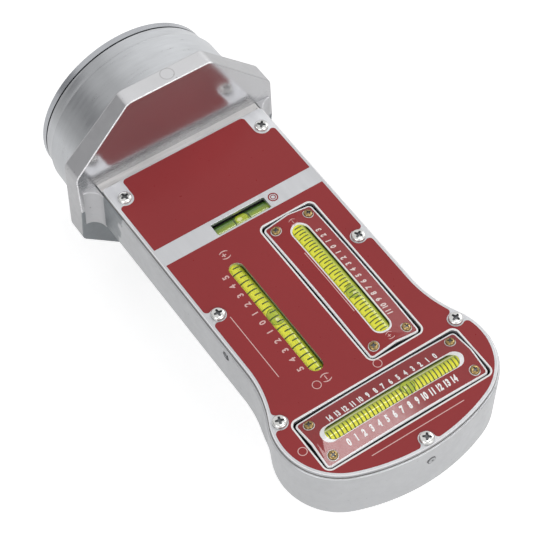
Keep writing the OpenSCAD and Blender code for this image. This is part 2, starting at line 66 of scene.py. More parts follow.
camera_data = bpy.data.cameras.new("camera")
camera_data.sensor_fit = "HORIZONTAL"
camera_data.sensor_width = SENSOR
camera_data.lens = FOCAL_PX / PHOTO_PX * SENSOR
camera_data.clip_start, camera_data.clip_end = 0.05, 10.0
camera = add("camera", camera_data)
forward = FORWARD.normalized()
right = (RIGHT - RIGHT.dot(forward) * forward).normalized()
up = right.cross(forward)
turn = Matrix((right, up, -forward)).transposed().to_4x4()
camera.matrix_world = Matrix.Translation(CAMERA_AT) @ turn
SCENE.camera = camera
SCENE.view_settings.view_transform = "Standard"

# ---- sizes, in mm

# face plate: straight sides, rear edge and front end, then the arcs of its outline
PLATE_HALF_W, PLATE_REAR, PLATE_FRONT = 36.2, 42.1, 201.0
FLARE_START, FLARE_R = 139.6, 48.4
CORNER_R, END_R, REAR_CORNER_R = 24.4, 79.2, 1.6
PLATE_TOP = 12.0
SEAT_Z = PLATE_TOP - 1.5

# cast body; its front end is deeper than its shank, with a rim wall round an open recess
BOTTOM_Z = SEAT_Z - 19.0
FLOOR_Z = BOTTOM_Z + 2.5
RIM = 0.9
WALL_T = 2.4
WALL_X = PLATE_HALF_W + RIM
RIM_WALL_H, RIM_WALL_T, RIM_WALL_DRAFT, RIM_WALL_SHIFT = 8.2, 3.0, 1.1, 1.05
RIM_WALL_FROM, RIM_WALL_FULL = -152.0, -157.5
BOTTOM_R, TOP_R, EDGE_IN = 2.2, 0.45, 0.5
NECK_R = 5.5
FLANGE_HALF, FLANGE_FRONT, FLANGE_REAR = 44.0, 38.9, 28.0
FLANGE_SLOPE = math.tan(math.radians(4.5))

# plate screws as (x, y), and cut-outs as (x, y, width, length along y)
SCREWS = [(s * x, -out) for out, x in ((50.33, 31.06), (114.07, 31.18), (163.85, 38.46))
          for s in (-1, 1)] + [(0.0, -197.85)]
CASTER_BAY = (14.43, -125.9, 23.2, 70.5)
KINGPIN_BAY = (0.0, -177.87, 71.4, 22.55)
BAY_CORNER, LEVEL_CORNER = 2.2, 0.35
PLATE_HOLE_R, PLATE_HEAD_R, PLATE_HEAD_H = 1.7, 2.75, 1.5
CAMBER_AT, CAMBER_SLOT = (-14.4, -126.1), (55.8, 6.0)
LEVEL_AT, LEVEL_SLOT = (0.45, -81.7), (23.7, 5.5)

# carriers: gap round them, sheet, ridge of the gable and the radius that it is arched to
GAP = 0.8
SHEET_T, SHEET_CORNER = 0.8, 1.6
RIDGE_Z, RIDGE_RISE, ARCH_R = 14.4, 2.2, 580.0
CARRIER_SCREWS = [(i * 30.8, j * 7.2) for i in (-1, 1) for j in (-1, 1)]
HOLE_R, HEAD_R, HEAD_H, BARE_HEAD_R = 1.15, 1.8, 1.0, 2.1
PIVOT_Z, LEVER = 2.6, 28.0
CASTER_ADJUSTER, CASTER_SPRING = [(CASTER_BAY[0], CASTER_BAY[1] + k * LEVER) for k in (-1, 1)]
KINGPIN_ADJUSTER, KINGPIN_SPRING = [(k * LEVER, KINGPIN_BAY[1]) for k in (1, -1)]

# vials: radius and the height of each one's middle
VIAL_R, LEVEL_R = 4.2, 4.0
CAMBER_Z = SEAT_Z + 1.15 - VIAL_R
TILT_Z = RIDGE_Z - SHEET_T + 0.35 - VIAL_R
LEVEL_Z = SEAT_Z - 0.1 - LEVEL_R

# print on the plate: how far inside its edge, and the ends of its two fields
PRINT_IN = 1.2
BAND_TOP, BAND_LOW, PRINT_TOP = -77.07, -85.29, -42.46
BORDER_W = 0.75
Z_RED = (PLATE_TOP + 0.005, PLATE_TOP + 0.04)
Z_WHITE = (PLATE_TOP + 0.005, PLATE_TOP + 0.055)
Z_MARK = (PLATE_TOP + 0.04, PLATE_TOP + 0.09)
Z_DIGIT = PLATE_TOP + 0.065
INK_T = 0.03


# ---- mesh helpers

def shift(x, y, z):
    return Matrix.Translation((x * MM, y * MM, z * MM))


def spin(degrees, axis):
    return Matrix.Rotation(math.radians(degrees), 4, axis)


@contextmanager
def edited(mesh):
    """Opens a mesh for editing and writes it back."""
    bm = bmesh.new()
    bm.from_mesh(mesh)
    yield bm
    bm.to_mesh(mesh)
    bm.free()


def dress(obj, *materials):
    """Gives an object these materials and no others."""
    obj.data.materials.clear()
    for material in materials:
        if material:
            obj.data.materials.append(material)
    return obj


def shade(obj, degrees=32):
    """Smooth faces, with sharp edges where the surface turns by more than an angle."""
    with edited(obj.data) as bm:
        for face in bm.faces:
            face.smooth = True
        for edge in bm.edges:
            if len(edge.link_faces) == 2:
                edge.smooth = edge.calc_face_angle(0.0) < math.radians(degrees)
    return obj


def mesh_object(name, verts, faces, material):
    """A smooth object from points in mm."""
    mesh = bpy.data.meshes.new(name)
    mesh.from_pydata([tuple(c * MM for c in v) for v in verts], [], faces)
    mesh.validate()
    with edited(mesh) as bm:
        bmesh.ops.recalc_face_normals(bm, faces=bm.faces)
    return shade(dress(add(name, mesh), material))


def weld(obj):
    """Joins points that lie on each other."""
    with edited(obj.data) as bm:
        bmesh.ops.remove_doubles(bm, verts=bm.verts, dist=1e-6)
        bmesh.ops.recalc_face_normals(bm, faces=bm.faces)
    return shade(obj)


def even(obj):
    """Keeps large faces flat in shading next to their narrow rounded edges."""
    mod = obj.modifiers.new("even", "WEIGHTED_NORMAL")
    mod.mode = "FACE_AREA"
    mod.weight = 100
    mod.keep_sharp = True
    return obj


def evaluated(obj):
    """The mesh that an object's modifiers or curve settings lead to."""
    bpy.context.view_layer.update()
    graph = bpy.context.evaluated_depsgraph_get()
    return bpy.data.meshes.new_from_object(obj.evaluated_get(graph))


def cut(obj, tools):
    """Takes tools out of obj."""
    for tool in tools:
        mod = obj.modifiers.new("cut", "BOOLEAN")
        mod.operation, mod.solver, mod.object = "DIFFERENCE", "EXACT", tool
    mesh, old = evaluated(obj), obj.data
    obj.modifiers.clear()
    obj.data = mesh
    bpy.data.meshes.remove(old)
    for tool in tools:
        bpy.data.objects.remove(tool)
    return shade(obj)


def curve_mesh(name, curve):
    """Turns a curve into a mesh and takes the curve away."""
    temp = add(name + "_curve", curve)
    mesh = evaluated(temp)
    bpy.data.objects.remove(temp)
    bpy.data.curves.remove(curve)
    return mesh


def flat(name, loops, heights, bevel=0.0, material=None, steps=2):
    """A sheet between two heights in mm from closed outlines, of which inner ones are holes."""
    z0, z1 = heights
    curve = bpy.data.curves.new(name, "CURVE")
    curve.dimensions = "2D"
    curve.fill_mode = "BOTH"
    curve.extrude = ((z1 - z0) / 2 - bevel) * MM
    curve.bevel_depth = bevel * MM
    curve.bevel_resolution = steps
    curve.offset = -bevel * MM
    for loop in loops:
        spline = curve.splines.new("POLY")
        spline.points.add(len(loop) - 1)
        for point, (x, y) in zip(spline.points, loop):
            point.co = (x * MM, y * MM, 0.0, 1.0)
        spline.use_cyclic_u = True
    mesh = curve_mesh(name, curve)
    mesh.transform(shift(0, 0, (z0 + z1) / 2))
    return weld(dress(add(name, mesh), material))


def text(body, size, x, y, angle, material, wide=1.0, bold=0.0, z=0.0):
    """Signs as a thin mesh, centred at x, y in mm and turned by an angle in degrees."""
    curve = bpy.data.curves.new("mark", "FONT")
    curve.body = body
    curve.size = size * MM
    curve.align_x = curve.align_y = "CENTER"
    curve.extrude = INK_T / 2 * MM
    curve.offset = bold * MM
    curve.resolution_u = 4
    mesh = curve_mesh("mark", curve)
    xs, ys = [v.co.x for v in mesh.vertices], [v.co.y for v in mesh.vertices]
    mid = Vector(((min(xs) + max(xs)) / 2, (min(ys) + max(ys)) / 2, 0))
    mesh.transform(shift(x, y, z) @ spin(angle, "Z") @ Matrix.Diagonal((wide, 1, 1, 1))
                   @ Matrix.Translation(-mid))
    return dress(add("mark", mesh), material)


def join(name, objects):
    """Several meshes as one object, each face with the material it had."""
    bm = bmesh.new()
    materials = []
    for obj in objects:
        slots = []
        for material in obj.data.materials:
            if material not in materials:
                materials.append(material)
            slots.append(materials.index(material))
        copy = obj.data.copy()
        copy.transform(obj.matrix_world)
        for polygon in copy.polygons:
            polygon.material_index = slots[min(polygon.material_index, len(slots) - 1)]
        bm.from_mesh(copy)
        bpy.data.meshes.remove(copy)
        bpy.data.objects.remove(obj)
    out = dress(add(name, bpy.data.meshes.new(name)), *materials)
    bm.to_mesh(out.data)
    bm.free()
    return out


def arc(cx, cy, r, a0, a1, steps):
    """Points about a centre from angle a0 to a1 in degrees, with both ends."""
    angles = [math.radians(a0 + (a1 - a0) * i / steps) for i in range(steps + 1)]
    return [(cx + r * math.cos(a), cy + r * math.sin(a)) for a in angles]


def quarter_arc(steps):
    """Sine and cosine of even steps from 0 to 90 degrees."""
    angles = [math.radians(90 * i / steps) for i in range(steps + 1)]
    return [(math.sin(a), math.cos(a)) for a in angles]


def circle(cx, cy, r, steps=48):
    return arc(cx, cy, r, 0, 360, steps)[:-1]


def rounded(cx, cy, w, h, r, steps=8):
    x, y = w / 2 - r, h / 2 - r
    corners = ((x, y, 0), (-x, y, 90), (-x, -y, 180), (x, -y, 270))
    return [p for dx, dy, a in corners for p in arc(cx + dx, cy + dy, r, a, a + 90, steps)]


def rectangle(half_w, y0, y1):
    return [(-half_w, y0), (half_w, y0), (half_w, y1), (-half_w, y1)]


def bay_loop(bay, grow=0.0):
    """A cut-out's outline moved out by grow."""
    x, y, w, h = bay
    return rounded(x, y, w + 2 * grow, h + 2 * grow, BAY_CORNER + grow)


def long_hole(at, size, along_y=False, steps=14):
    """A slot of (length, width) with round ends."""
    (cx, cy), (length, width) = at, size
    r, half = width / 2, (length - width) / 2
    points = arc(half, 0, r, -90, 90, steps) + arc(-half, 0, r, 90, 270, steps)
    if along_y:
        return [(cx - y, cy + x) for x, y in points]
    return [(cx + x, cy + y) for x, y in points]


def plan_sizes():
    """Centres of the flare, front corner and front end, and the corner's two angles."""
    fx, fy = PLATE_HALF_W + FLARE_R, -FLARE_START
    ex, ey = 0.0, END_R - PLATE_FRONT
    a, b = FLARE_R + CORNER_R, END_R - CORNER_R
    d = math.hypot(ex - fx, ey - fy)
    along = (a * a - b * b + d * d) / (2 * d)
    aside = math.sqrt(a * a - along * along)
    ux, uy = (ex - fx) / d, (ey - fy) / d
    cx, cy = fx + along * ux - aside * uy, fy + along * uy + aside * ux
    flare = math.degrees(math.atan2(fy - cy, fx - cx))
    end = math.degrees(math.atan2(cy - ey, cx - ex))
    return (fx, fy), (cx, cy), (ex, ey), flare, end


FLARE_C, CORNER_C, END_C, FLARE_A, END_A = plan_sizes()


def plan(d=0.0, rear=PLATE_REAR, rear_r=REAR_CORNER_R, fine=1):
    """Outline of the plate grown by d, as one closed loop."""
    half = arc(PLATE_HALF_W + d - rear_r, -rear - rear_r, rear_r, 90, 0, 8)
    x, y0 = half[-1]
    n = 24 * fine
    half += [(x, y0 + (FLARE_C[1] - y0) * i / n) for i in range(1, n)]
    half += arc(*FLARE_C, FLARE_R - d, 180, 180 + FLARE_A, 16 * fine)
    half += arc(*CORNER_C, CORNER_R + d, FLARE_A, END_A, 20 * fine)[1:]
    half += arc(*END_C, END_R + d, END_A, -90, 18 * fine)[1:]
    return half + [(-x, y) for x, y in reversed(half[:-1])]


def loft(name, rings, material):
    """Closed skin over rings of equally many (x, y, z) points."""
    n, last = len(rings[0]), len(rings) - 1
    faces = [(k * n + i, k * n + (i + 1) % n, (k + 1) * n + (i + 1) % n, (k + 1) * n + i)
             for k in range(last) for i in range(n)]
    faces += [tuple(range(n)), tuple(range(last * n, (last + 1) * n))]
    return mesh_object(name, [p for ring in rings for p in ring], faces, material)


def lathe_y(name, profile, material, steps=192):
    """Turns a closed outline of (radius, y) about the hub axis."""
    verts, faces = [], []
    m = len(profile)
    for i in range(steps):
        a, j = math.tau * i / steps, (i + 1) % steps
        verts += [(r * math.cos(a), y, r * math.sin(a)) for r, y in profile]
        faces += [(i * m + k, i * m + (k + 1) % m, j * m + (k + 1) % m, j * m + k)
                  for k in range(m)]
    return mesh_object(name, verts, faces, material)


def cylinder(name, r, p0, p1, material=None, steps=48):
    p0, p1 = Vector(p0), Vector(p1)
    axis = (p1 - p0).normalized()
    side = axis.orthogonal().normalized()
    other = axis.cross(side)
    spokes = [r * (side * math.cos(math.tau * i / steps)
                   + other * math.sin(math.tau * i / steps)) for i in range(steps)]
    return loft(name, [[tuple(p + spoke) for spoke in spokes] for p in (p0, p1)], material)


def place(obj, at, quarter):
    """Moves a piece drawn along u to x, y in mm, after a quarter turn if it runs along y."""
    obj.data.transform(shift(*at, 0) @ spin(90 if quarter else 0, "Z"))
    return obj


def sag(u, r):
    """How far an arch of radius r has dropped at u from its crown."""
    return r - math.sqrt(r * r - u * u)


def roof_z(u, v, half_w):
    return RIDGE_Z - RIDGE_RISE * abs(v) / half_w - sag(u, ARCH_R)


def to_roof(obj, size, at, quarter, lift=0.0):
    """Bends a flat piece, drawn with u along the vial, on to a carrier's gable and places it."""
    length, width = size
    step = 3.0
    count = int(length / 2 / step) + 1
    planes = [((i * step * MM, 0, 0), (1, 0, 0)) for i in range(-count, count + 1)]
    planes.append(((0, 0, 0), (0, 1, 0)))
    with edited(obj.data) as bm:
        bmesh.ops.triangulate(bm, faces=[f for f in bm.faces if len(f.verts) > 4])
        for co, no in planes:
            bmesh.ops.bisect_plane(bm, geom=bm.verts[:] + bm.edges[:] + bm.faces[:],
                                   dist=1e-7, plane_co=co, plane_no=no)
        for vert in bm.verts:
            u, v = vert.co.x / MM, vert.co.y / MM
            vert.co.z += (roof_z(u, v, width / 2) + lift) * MM
    return shade(place(obj, at, quarter), 25)


CASTING, PRINT = ("housing", "cast_body"), ("housing", "red_print")


def own(obj, body, slot, *nodes):
    """Hides the nodes a piece stands for and hangs it on the body it rides on; slot is not used."""
    if nodes:
        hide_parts(*nodes)
    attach(obj, body)
    return obj


# ---- materials

def srgb(r, g, b):
    def one(c):
        c /= 255.0
        return c / 12.92 if c <= 0.04045 else ((c + 0.055) / 1.055) ** 2.4
    return (one(r), one(g), one(b), 1.0)


class Nodes:
    """Makes and links the nodes of one tree."""

    def __init__(self, tree):
        self.tree = tree

    def feed(self, socket, value):
        """Sets a socket to a value, or links it to another node's socket."""
        if isinstance(value, bpy.types.NodeSocket):
            self.tree.links.new(value, socket)
        else:
            socket.default_value = value

    def node(self, kind, inputs=None, **settings):
        node = self.tree.nodes.new("ShaderNode" + kind)
        for key, value in settings.items():
            setattr(node, key, value)
        for key, value in (inputs or {}).items():
            self.feed(node.inputs[key], value)
        return node

    def math(self, operation, a, b=0.0):
        return self.node("Math", {0: a, 1: b}, operation=operation).outputs["Value"]

    def times(self, a, b):
        return self.math("MULTIPLY", a, b)


class Shader(Nodes):
    """A principled material with helpers for procedural detail in object space."""

    def __init__(self, name, colour, rough, metal=0.0, **more):
        self.material = bpy.data.materials.new(name)
        self.material.use_nodes = True
        super().__init__(self.material.node_tree)
        self.sockets = self.tree.nodes["Principled BSDF"].inputs
        more.update(Base_Color=colour, Roughness=rough, Metallic=metal)
        for key, value in more.items():
            self.sockets[key.replace("_", " ")].default_value = value
        self.colour = colour
        self.normal = None
        self.coords = self.node("TexCoord").outputs

    def scaled(self, *factors):
        return self.node("Mapping", {"Scale": factors,
                                     "Vector": self.coords["Object"]}).outputs["Vector"]

    def split(self, kind="Object"):
        return self.node("SeparateXYZ", {"Vector": self.coords[kind]}).outputs

    def noise(self, scale, detail=4.0, rough=0.55, vector=None, distortion=0.0):
        return self.node("TexNoise", {
            "Vector": vector or self.coords["Object"], "Scale": scale, "Detail": detail,
            "Roughness": rough, "Distortion": distortion}).outputs["Fac"]

    def ramp(self, value, stops):
        node = self.node("ValToRGB", {"Fac": value})
        elements = node.color_ramp.elements
        while len(elements) < len(stops):
            elements.new(0.5)
        for element, (at, colour) in zip(elements, stops):
            element.position, element.color = at, colour
        return node.outputs["Color"]

    def map(self, value, a0, a1, b0, b1):
        """Takes a value from the range a0 to a1 to the range b0 to b1."""
        return self.node("MapRange", {"Value": value, "From Min": a0, "From Max": a1,
                                      "To Min": b0, "To Max": b1}).outputs["Result"]

    def mixed(self, factor, colour, blend="MIX"):
        """Mixes a colour or socket into what the base colour has so far."""
        socket = self.sockets["Base Color"]
        under = socket.links[0].from_socket if socket.is_linked else self.colour
        node = self.node("MixRGB", {"Fac": factor, "Color1": under, "Color2": colour},
                         blend_type=blend)
        self.feed(socket, node.outputs["Color"])
        return self

    def toned(self, value, stops):
        """Multiplies the base colour by a grey that follows a 0 to 1 value."""
        greys = self.ramp(value, [(at, (grey, grey, grey, 1)) for at, grey in stops])
        return self.mixed(1.0, greys, "MULTIPLY")

    def tint(self, factor, dark, light):
        """Base colour between two multiples of the colour by a 0 to 1 value."""
        r, g, b, _ = self.colour
        stops = [(at, (r * k, g * k, b * k, 1)) for at, k in ((0.25, dark), (0.75, light))]
        self.feed(self.sockets["Base Color"], self.ramp(factor, stops))
        return self

    def roughness(self, factor, low, high):
        self.feed(self.sockets["Roughness"], self.map(factor, 0.25, 0.75, low, high))
        return self

    def bump(self, height, strength, distance):
        """Adds relief, with the distance in mm."""
        inputs = {"Strength": strength, "Distance": distance * MM, "Height": height}
        if self.normal is not None:
            inputs["Normal"] = self.normal
        self.normal = self.node("Bump", inputs).outputs["Normal"]
        self.feed(self.sockets["Normal"], self.normal)
        return self


def cast_shader(name, colour, rough, metal, grain, blotch=0.07, pits=0.0, stretch=(1, 1, 1)):
    """Die-cast skin: soft cloudy tone, fine grain and a few dark pits."""
    s = Shader(name, colour, rough, metal)
    s.tint(s.noise(55, 6, 0.62, s.scaled(*stretch), 0.4), 1.0 - blotch, 1.0 + 0.6 * blotch)
    if pits:
        spots = s.map(s.noise(900, 2, 0.5), 0.69, 0.76, 0.0, pits)
        patches = s.map(s.noise(70, 2, 0.5), 0.5, 0.62, 0.0, 1.0)
        s.mixed(s.times(spots, patches), srgb(70, 72, 74))
    s.roughness(s.noise(420, 4), rough - 0.05, rough + 0.09)
    s.bump(s.noise(900, 3), grain, 0.03)
    return s.bump(s.noise(2600, 2), grain * 0.8, 0.015)


def cast_metal(*looks):
    return cast_shader(*looks).material


def turned_metal(name, colour, rough):
    """Lathe marks: fine rings about the hub axis."""
    s = Shader(name, colour, rough, 1.0)
    x, y, z = s.split()
    radius = s.math("SQRT", s.math("ADD", s.times(x, x), s.times(z, z)))
    ring = s.node("CombineXYZ", {"X": radius, "Y": y}).outputs["Vector"]
    marks = s.noise(2400.0, 3, 0.6, ring)
    s.tint(s.noise(90, 4), 0.93, 1.05)
    s.roughness(marks, rough - 0.06, rough + 0.10)
    return s.bump(marks, 0.25, 0.01).material


def small_metal(name, colour, rough, metal=1.0):
    s = Shader(name, colour, rough, metal)
    s.tint(s.noise(600, 4), 0.86, 1.08)
    s.roughness(s.noise(1500, 3), rough * 0.75, rough * 1.35)
    return s.bump(s.noise(3000, 2), 0.12, 0.01).material


def body_metal():
    """The body's side walls: cloudy, with a darker patch on the left wall beside the neck."""
    edge, ragged_edge, edge_lean = -0.0495, 0.012, 0.12
    s = cast_shader("cast satin", srgb(186, 187, 189), 0.38, 0.8, 0.3, 0.07, 0.5)
    x, y, z = s.split()
    near = s.math("ADD", y, s.times(s.noise(160, 4, 0.6), ragged_edge))
    near = s.math("ADD", near, s.times(z, edge_lean))
    mask = s.map(near, edge - 0.0006, edge + 0.0006, 0.0, 0.8)
    left = s.map(x, -0.0362, -0.0352, 1.0, 0.0)
    return s.mixed(s.times(mask, left), srgb(122, 127, 131)).material


def hub_metal():
    """The hub's side: turned, with long streaks, and painted light and shade that change with the
    angle round it.
    """
    s = Shader("turned hub", srgb(203, 205, 208), 0.30, 0.92)
    x, y, z = s.split()
    angle = s.math("ARCTAN2", x, z)
    along = s.node("CombineXYZ", {"X": y, "Y": s.times(angle, 0.004)}).outputs["Vector"]
    streaks = s.noise(700, 4, 0.65, along)
    wide = s.noise(160, 3, 0.6, along)
    s.tint(s.math("ADD", s.times(streaks, 0.6), s.times(wide, 0.4)), 0.82, 1.06)
    # painted light and shade: the tone follows the angle round the hub axis, darker where less
    # light falls
    s.toned(s.math("ADD", s.times(angle, 1 / math.pi), 0.5),
            [(0.03, 0.82), (0.11, 0.86), (0.15, 0.68), (0.19, 0.57), (0.30, 0.68),
             (0.38, 0.65), (0.43, 0.82), (0.5, 0.97), (0.72, 1.0), (1.0, 0.85)])
    s.roughness(streaks, 0.24, 0.42)
    return s.bump(streaks, 0.22, 0.02).material


def flange_skin():
    """The flange's cast sides with painted shade: faces get darker as they turn away from straight
    up, so the top is lightest; one round ejector mark on the top.
    """
    mark_x, mark_y, mark_r = 1.5 * MM, -31.2 * MM, 2.7 * MM
    s = cast_shader("cast skin", srgb(206, 206, 208), 0.33, 0.85, 0.25, 0.05, 0.9)
    # painted shade: darker as the face's normal turns away from straight up
    s.toned(s.split("Normal")["Z"], [(0.0, 0.70), (0.72, 0.74), (0.95, 1.0)])
    x, y, z = s.split()
    dx, dy = s.math("SUBTRACT", x, mark_x), s.math("SUBTRACT", y, mark_y)
    away = s.math("SQRT", s.math("ADD", s.times(dx, dx), s.times(dy, dy)))
    line = s.math("ABSOLUTE", s.math("SUBTRACT", away, mark_r))
    mark = s.map(line, 0.00012, 0.00032, 0.45, 0.0)
    top = s.map(z, 0.0435, 0.0437, 0.0, 1.0)
    return s.mixed(s.times(mark, top), srgb(150, 148, 148)).material


def milled_metal():
    """A finely milled face that mirrors what stands before it, a little hazy."""
    s = Shader("milled face", srgb(196, 196, 198), 0.12, 0.93)
    streak = s.noise(330, 5, 0.65, s.scaled(1.0, 1.0, 9.0))
    s.tint(s.noise(45, 4), 0.93, 1.02)
    haze = s.map(s.split()["Z"], 0.011, 0.024, 0.16, 0.0)
    s.feed(s.sockets["Roughness"], s.math("ADD", haze, s.map(streak, 0.25, 0.75, 0.07, 0.22)))
    return s.bump(streak, 0.10, 0.012).material


def plate_metal():
    """Brushed sheet, darker where the flange shades its rear end."""
    s = Shader("plate metal", srgb(222, 223, 226), 0.34, 0.8)
    brushed = s.noise(700, 3, 0.5, s.scaled(1.0, 0.08, 1.0))
    s.tint(brushed, 0.97, 1.02)
    s.roughness(brushed, 0.28, 0.42)
    s.bump(brushed, 0.06, 0.01)
    s.toned(s.map(s.split()["Y"], -0.066, -0.052, 0.0, 1.0), [(0.0, 0.76), (1.0, 1.0)])
    return s.material


def printed(name, colour, rough, gloss=0.35):
    s = Shader(name, colour, rough, 0.0, Specular_IOR_Level=gloss)
    s.tint(s.noise(30, 4, 0.55), 0.955, 1.045)
    return s.roughness(s.noise(500, 2), rough - 0.03, rough + 0.04).material


def vial_dye_and_shade(name, axis, stops):
    """Dyed liquid in clear tube, with painted light and shade: yellow on the side that faces the
    light, green on the other.
    """
    s = Shader(name, srgb(214, 214, 24), 0.10, 0.0, Coat_Weight=0.6, Coat_Roughness=0.04,
               Specular_IOR_Level=0.4)
    # painted light and shade: the colour follows the normal along one axis, from the lit side to
    # the shaded side
    side = s.map(s.split("Normal")[axis], -1.0, 1.0, 0.0, 1.0)
    cloud = s.math("SUBTRACT", s.times(s.noise(140, 3), 0.10), 0.05)
    dye_and_shade = s.ramp(s.math("ADD", side, cloud), [(at, srgb(*colour)) for at, *colour in stops])
    s.feed(s.sockets["Base Color"], dye_and_shade)
    s.roughness(s.noise(500, 2), 0.07, 0.16)
    return s.bump(s.noise(300, 2), 0.03, 0.02).material


CAST = body_metal()
CAST_SKIN = flange_skin()
# a darker cast for the flange below the hub axis: partly its rough unmilled finish, partly painted
# shade under the body
CAST_RAW_SHADED = cast_metal("cast raw", srgb(142, 146, 149), 0.55, 0.6, 0.6, 0.12, 0.6)
CAST_NECK = cast_metal("cast neck", srgb(190, 190, 192), 0.45, 0.7, 0.4, 0.06, 0.4)
CAST_LEDGE = cast_metal("cast ledge", srgb(222, 220, 219), 0.45, 0.3, 1.2, 0.22, 1.0,
                        (1, 8, 8))
CAST_HUB = hub_metal()
# a much darker copy of the cast for the webs, bosses, hub core, cradle and carrier blocks inside
# the body: painted shade
CAST_SHADED_INSIDE = cast_metal("cast inside shaded", srgb(92, 94, 96), 0.6, 0.3, 0.5)
SEAM = cast_metal("seam", srgb(112, 106, 100), 0.6, 0.3, 0.3)
MILLED = milled_metal()
# a pale line where the plate's rounded top edge catches the light: a painted highlight
PLATE_EDGE_HIGHLIGHT = Shader("plate edge highlight", srgb(238, 238, 240), 0.35, 0.2).material
# pale bevels where the flange's edges catch the light: a painted highlight
FLANGE_EDGE_HIGHLIGHT = small_metal("edge bright", srgb(236, 236, 238), 0.25, 0.35)
SHEET = plate_metal()

RED = printed("red print", srgb(150, 42, 45), 0.3)
RED_GLOSS = printed("red gloss", srgb(146, 39, 42), 0.13, 0.5)
WHITE = printed("white print", srgb(250, 249, 248), 0.3)
WHITE_EDGE = printed("white edge", srgb(246, 246, 247), 0.25)
PINK = printed("scale print", srgb(228, 188, 184), 0.4)
PALE = printed("pale print", srgb(238, 220, 216), 0.4)

DYE_SHADED_ALONG = vial_dye_and_shade("vial along", "X", [
    (0.12, 248, 246, 60), (0.44, 240, 240, 34), (0.66, 212, 220, 40),
    (0.86, 132, 152, 46)])
# the pale stop at 0.70 on the kingpin vial is a painted reflection: a light line along the tube's
# upper side
DYE_SHADED_ACROSS = vial_dye_and_shade("vial across", "Y", [
    (0.12, 248, 246, 66), (0.42, 236, 234, 40), (0.56, 206, 212, 44),
    (0.66, 172, 182, 52), (0.70, 222, 224, 176), (0.74, 150, 162, 62),
    (0.90, 104, 118, 54)])
DYE_SHADED_LEVEL = vial_dye_and_shade("vial level", "Y", [
    (0.10, 206, 212, 70), (0.36, 164, 186, 48), (0.62, 92, 132, 44),
    (0.86, 52, 86, 38)])
TICK = printed("vial ticks", srgb(76, 90, 46), 0.3)
BUBBLE = small_metal("vial bubble", srgb(188, 204, 52), 0.12, 0.0)
BUBBLE_EDGE = small_metal("vial bubble edge", srgb(112, 134, 38), 0.2, 0.0)
# the small pale patch on each bubble is a painted highlight
BUBBLE_GLINT = small_metal("vial glint", srgb(240, 242, 170), 0.1, 0.0)

ZINC = small_metal("zinc screw", srgb(206, 206, 204), 0.2)
# dark grey for the insides of screw recesses, the pin's hole and the punched dot: painted shade
RECESS_SHADE = small_metal("recess", srgb(104, 105, 107), 0.4, 0.6)
BRASS = small_metal("brass screw", srgb(146, 124, 82), 0.24)
STEEL = small_metal("pin steel", srgb(170, 171, 173), 0.3)
SPRING = small_metal("spring steel", srgb(128, 129, 131), 0.35)
PAD = small_metal("pad brass", srgb(196, 166, 92), 0.3)
POLE = turned_metal("pole steel", srgb(176, 178, 182), 0.24)
MAGNET = cast_metal("magnet", srgb(60, 60, 62), 0.5, 0.3, 0.6)
FILLER = cast_metal("filler resin", srgb(44, 44, 46), 0.35, 0.0, 0.4)


# ---- cast body

def deep(y):
    """How much of the deeper front end a place along the body has, 0 to 1."""
    t = min(1.0, max(0.0, (RIM_WALL_FROM - y) / (RIM_WALL_FROM - RIM_WALL_FULL)))
    return t * t * (3 - 2 * t)


def low_z(k):
    return BOTTOM_Z - RIM_WALL_H * k


def body_ring(inset, height, rear=FLANGE_REAR + 2.0):
    """The body's outline moved in by inset; height gives z from the share of the deeper end."""
    ring = []
    for wide, slim in zip(plan(RIM - inset, rear), plan(RIM - inset - RIM_WALL_DRAFT, rear)):
        k = deep(wide[1])
        z = height(k)
        lean = k * (SEAT_Z - z) / (SEAT_Z - low_z(1.0))
        x = wide[0] + (slim[0] - wide[0] + RIM_WALL_SHIFT) * lean
        ring.append((x, wide[1] + (slim[1] - wide[1]) * lean, z))
    return ring


rings = [body_ring(RIM_WALL_T, lambda k: BOTTOM_Z),
         body_ring(RIM_WALL_T, lambda k: min(BOTTOM_Z, low_z(k) + EDGE_IN)),
         body_ring(RIM_WALL_T - EDGE_IN, low_z)]
for s, c in quarter_arc(6):
    rings.append(body_ring(BOTTOM_R * (1 - s), lambda k: low_z(k) + BOTTOM_R * (1 - c)))
for s, c in quarter_arc(3):
    rings.append(body_ring(TOP_R * (1 - c), lambda k: SEAT_Z - TOP_R * (1 - s)))
for z in (SEAT_Z, FLOOR_Z):
    rings.append(body_ring(WALL_T, lambda k: z, FLANGE_FRONT + 6.0))
tub = weld(loft("cast_body", rings, CAST))

# bores for the cradle's set screw, the caster pivot pin and the two adjusters
SET_SCREW_YZ = (-127.9, 7.5)
PIVOT_YZ = (CASTER_BAY[1], PIVOT_Z)
bores = [cylinder("bore", 1.9, (-WALL_X - 3, *SET_SCREW_YZ), (-WALL_X + 4, *SET_SCREW_YZ)),
         cylinder("bore", 1.77, (WALL_X + 3, *PIVOT_YZ), (WALL_X - 4, *PIVOT_YZ))]
for at in (CASTER_ADJUSTER, KINGPIN_ADJUSTER):
    bores.append(cylinder("bore", 2.3, (*at, BOTTOM_Z - 2), (*at, FLOOR_Z + 1)))
own(even(cut(tub, bores)), *CASTING, "housing")

# cross webs under the plate and a boss round each plate screw
LOW, TOP = FLOOR_Z - 0.5, SEAT_Z - 0.05
inside = [flat("web", [rectangle(half_w, y - half_t, y + half_t)], (LOW, top), 0.3, CAST_SHADED_INSIDE)
          for half_w, y, half_t, top in ((36.0, -76.3, 1.2, TOP), (36.0, -87.1, 1.2, TOP),
                                         (37.0, -164.0, 1.1, 8.0))]
inside += [cylinder("boss", 3.0, (*at, LOW), (*at, TOP), CAST_SHADED_INSIDE) for at in SCREWS]
own(join("inner_ribs", inside), *CASTING)

